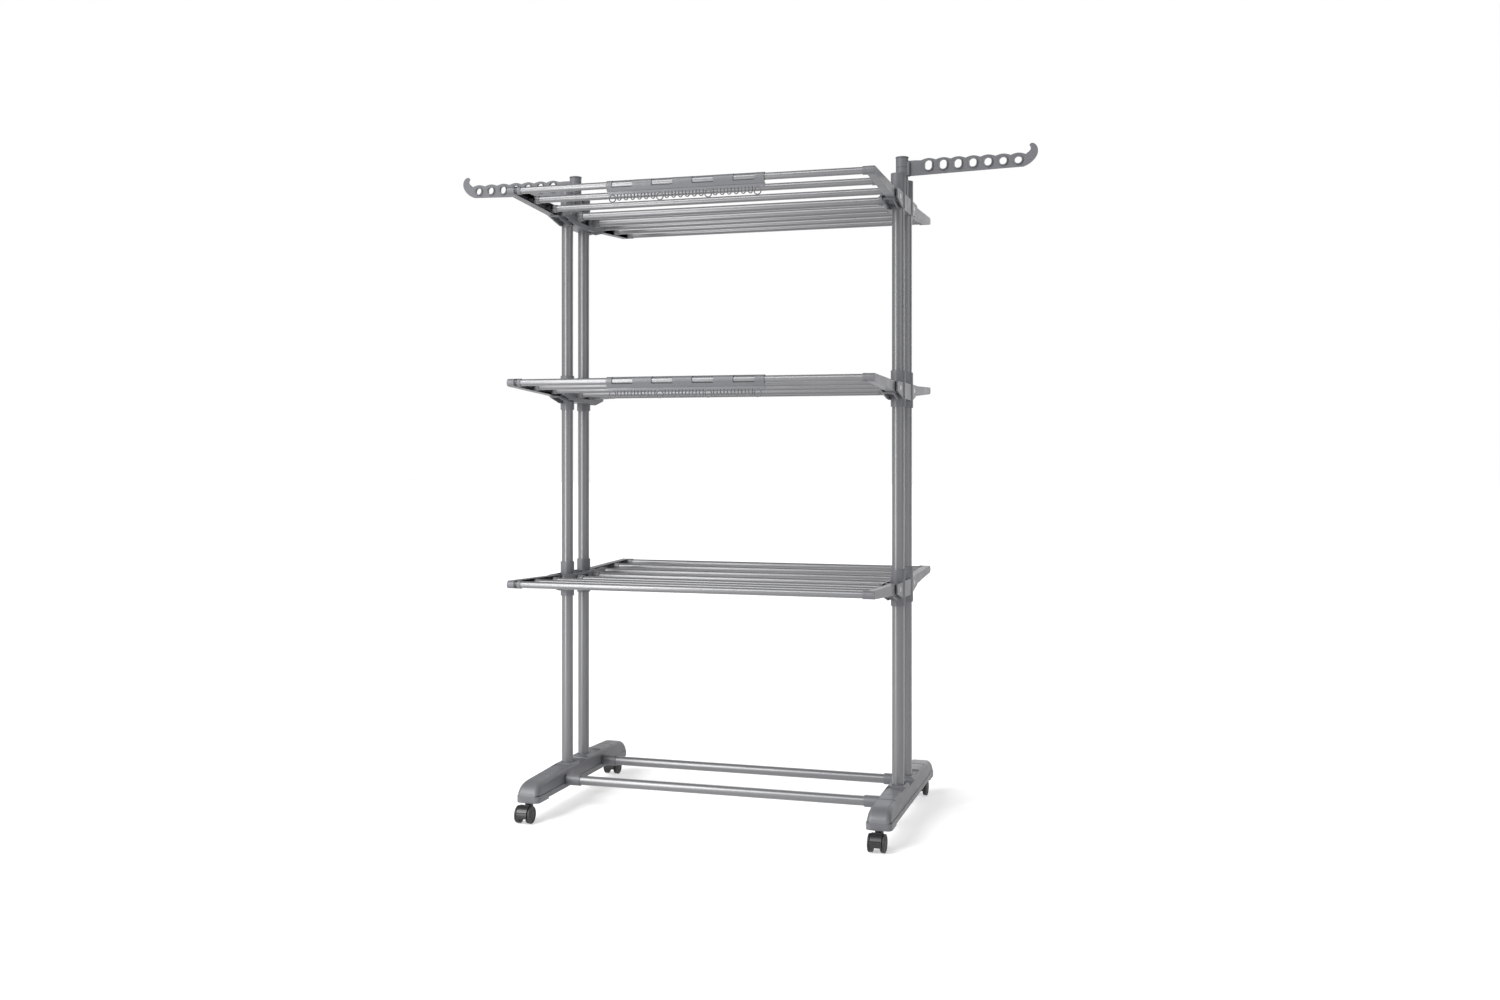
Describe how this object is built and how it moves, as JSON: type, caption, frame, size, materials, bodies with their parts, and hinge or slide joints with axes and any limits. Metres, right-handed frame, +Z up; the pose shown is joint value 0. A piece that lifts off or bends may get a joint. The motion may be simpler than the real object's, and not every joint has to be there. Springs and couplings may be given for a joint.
{
  "type": "clothes drying rack",
  "caption": "Three-tier folding clothes drying rack on casters, with paired posts, hinged rail trays, two turning hanger wings and clip-on hook strips.",
  "frame": {"origin": "on the floor, under the centre of the rack", "axes": "+X along the rails to the right, -Y to the front, +Z up"},
  "size_m": [1.3, 0.64, 1.3972],
  "materials": {
    "coated_tube": "silver-grey powder coat, satin",
    "grey_plastic": "moulded, fine satin",
    "black_plastic": "moulded, satin",
    "black_tread": "hard tread",
    "plated_steel": "zinc plated"
  },
  "bodies": {
    "frame": {"foot_left": "grey_plastic", "foot_right": "grey_plastic", "foot_screws": "plated_steel", "cross_bar_front": "coated_tube", "cross_bar_rear": "coated_tube", "cross_bar_sleeves": "grey_plastic", "lower_posts": "coated_tube", "middle_posts": "coated_tube", "upper_posts": "coated_tube", "bracket_bottom_left": "grey_plastic", "bracket_bottom_right": "grey_plastic", "bracket_middle_left": "grey_plastic", "bracket_middle_right": "grey_plastic", "bracket_top_left": "grey_plastic", "bracket_top_right": "grey_plastic", "tie_bars_bottom": "coated_tube", "tie_bars_middle": "coated_tube", "tie_bars_top": "coated_tube", "hinge_pins": "plated_steel", "wing_pins": "plated_steel", "wing_washers": "grey_plastic"},
    "bottom_front_tray": {"bottom_front_rails": "coated_tube", "bottom_front_arms": "grey_plastic", "bottom_front_rail_plugs": "grey_plastic", "bottom_front_lock_rings": "black_plastic"},
    "bottom_rear_tray": {"bottom_rear_rails": "coated_tube", "bottom_rear_arms": "grey_plastic", "bottom_rear_rail_plugs": "grey_plastic"},
    "middle_front_tray": {"middle_front_rails": "coated_tube", "middle_front_arms": "grey_plastic", "middle_front_rail_plugs": "grey_plastic", "middle_front_lock_rings": "black_plastic", "hanger_strip_middle": "grey_plastic"},
    "middle_rear_tray": {"middle_rear_rails": "coated_tube", "middle_rear_arms": "grey_plastic", "middle_rear_rail_plugs": "grey_plastic"},
    "top_front_tray": {"top_front_rails": "coated_tube", "top_front_arms": "grey_plastic", "top_front_rail_plugs": "grey_plastic", "top_front_lock_rings": "black_plastic", "hanger_strip_top": "grey_plastic"},
    "top_rear_tray": {"top_rear_rails": "coated_tube", "top_rear_arms": "grey_plastic", "top_rear_rail_plugs": "grey_plastic"},
    "left_wing": {"wing_left": "grey_plastic", "wing_cap_left": "grey_plastic"},
    "right_wing": {"wing_right": "grey_plastic", "wing_cap_right": "grey_plastic"},
    "caster_front_left": {"caster_front_left_hood": "black_plastic", "caster_front_left_pins": "plated_steel"},
    "caster_front_left_wheel_pair": {"caster_front_left_wheels": "black_tread"},
    "caster_front_right": {"caster_front_right_hood": "black_plastic", "caster_front_right_pins": "plated_steel"},
    "caster_front_right_wheel_pair": {"caster_front_right_wheels": "black_tread"},
    "caster_rear_left": {"caster_rear_left_hood": "black_plastic", "caster_rear_left_pins": "plated_steel"},
    "caster_rear_left_wheel_pair": {"caster_rear_left_wheels": "black_tread"},
    "caster_rear_right": {"caster_rear_right_hood": "black_plastic", "caster_rear_right_pins": "plated_steel"},
    "caster_rear_right_wheel_pair": {"caster_rear_right_wheels": "black_tread"}
  },
  "joints": [
    {"name": "bottom_front_fold", "type": "hinge", "parent": "frame", "child": "bottom_front_tray", "pos_m": [0, -0.08, 0.488], "axis": [-1, 0, 0], "range_deg": [0, 90]},
    {"name": "bottom_rear_fold", "type": "hinge", "parent": "frame", "child": "bottom_rear_tray", "pos_m": [0, 0.08, 0.488], "axis": [1, 0, 0], "range_deg": [0, 90]},
    {"name": "middle_front_fold", "type": "hinge", "parent": "frame", "child": "middle_front_tray", "pos_m": [0, -0.08, 0.898], "axis": [-1, 0, 0], "range_deg": [0, 90]},
    {"name": "middle_rear_fold", "type": "hinge", "parent": "frame", "child": "middle_rear_tray", "pos_m": [0, 0.08, 0.898], "axis": [1, 0, 0], "range_deg": [0, 90]},
    {"name": "top_front_fold", "type": "hinge", "parent": "frame", "child": "top_front_tray", "pos_m": [0, -0.08, 1.288], "axis": [-1, 0, 0], "range_deg": [0, 90]},
    {"name": "top_rear_fold", "type": "hinge", "parent": "frame", "child": "top_rear_tray", "pos_m": [0, 0.08, 1.288], "axis": [1, 0, 0], "range_deg": [0, 90]},
    {"name": "left_wing_turn", "type": "hinge", "parent": "frame", "child": "left_wing", "pos_m": [-0.37, 0, 1.343], "axis": [0, 0, 1], "range_deg": [-180, 180]},
    {"name": "right_wing_turn", "type": "hinge", "parent": "frame", "child": "right_wing", "pos_m": [0.37, 0, 1.343], "axis": [0, 0, 1], "range_deg": [-180, 180]},
    {"name": "caster_front_left_swivel", "type": "hinge", "parent": "frame", "child": "caster_front_left", "pos_m": [-0.37, -0.239, 0.0385], "axis": [0, 0, 1], "continuous": true},
    {"name": "caster_front_left_roll", "type": "hinge", "parent": "caster_front_left", "child": "caster_front_left_wheel_pair", "pos_m": [-0.37, -0.259, 0.018], "axis": [1, 0, 0], "continuous": true},
    {"name": "caster_front_right_swivel", "type": "hinge", "parent": "frame", "child": "caster_front_right", "pos_m": [0.37, -0.239, 0.0385], "axis": [0, 0, 1], "continuous": true},
    {"name": "caster_front_right_roll", "type": "hinge", "parent": "caster_front_right", "child": "caster_front_right_wheel_pair", "pos_m": [0.37, -0.259, 0.018], "axis": [1, 0, 0], "continuous": true},
    {"name": "caster_rear_left_swivel", "type": "hinge", "parent": "frame", "child": "caster_rear_left", "pos_m": [-0.37, 0.239, 0.0385], "axis": [0, 0, 1], "continuous": true},
    {"name": "caster_rear_left_roll", "type": "hinge", "parent": "caster_rear_left", "child": "caster_rear_left_wheel_pair", "pos_m": [-0.37, 0.219, 0.018], "axis": [1, 0, 0], "continuous": true},
    {"name": "caster_rear_right_swivel", "type": "hinge", "parent": "frame", "child": "caster_rear_right", "pos_m": [0.37, 0.239, 0.0385], "axis": [0, 0, 1], "continuous": true},
    {"name": "caster_rear_right_roll", "type": "hinge", "parent": "caster_rear_right", "child": "caster_rear_right_wheel_pair", "pos_m": [0.37, 0.219, 0.018], "axis": [1, 0, 0], "continuous": true}
  ]
}
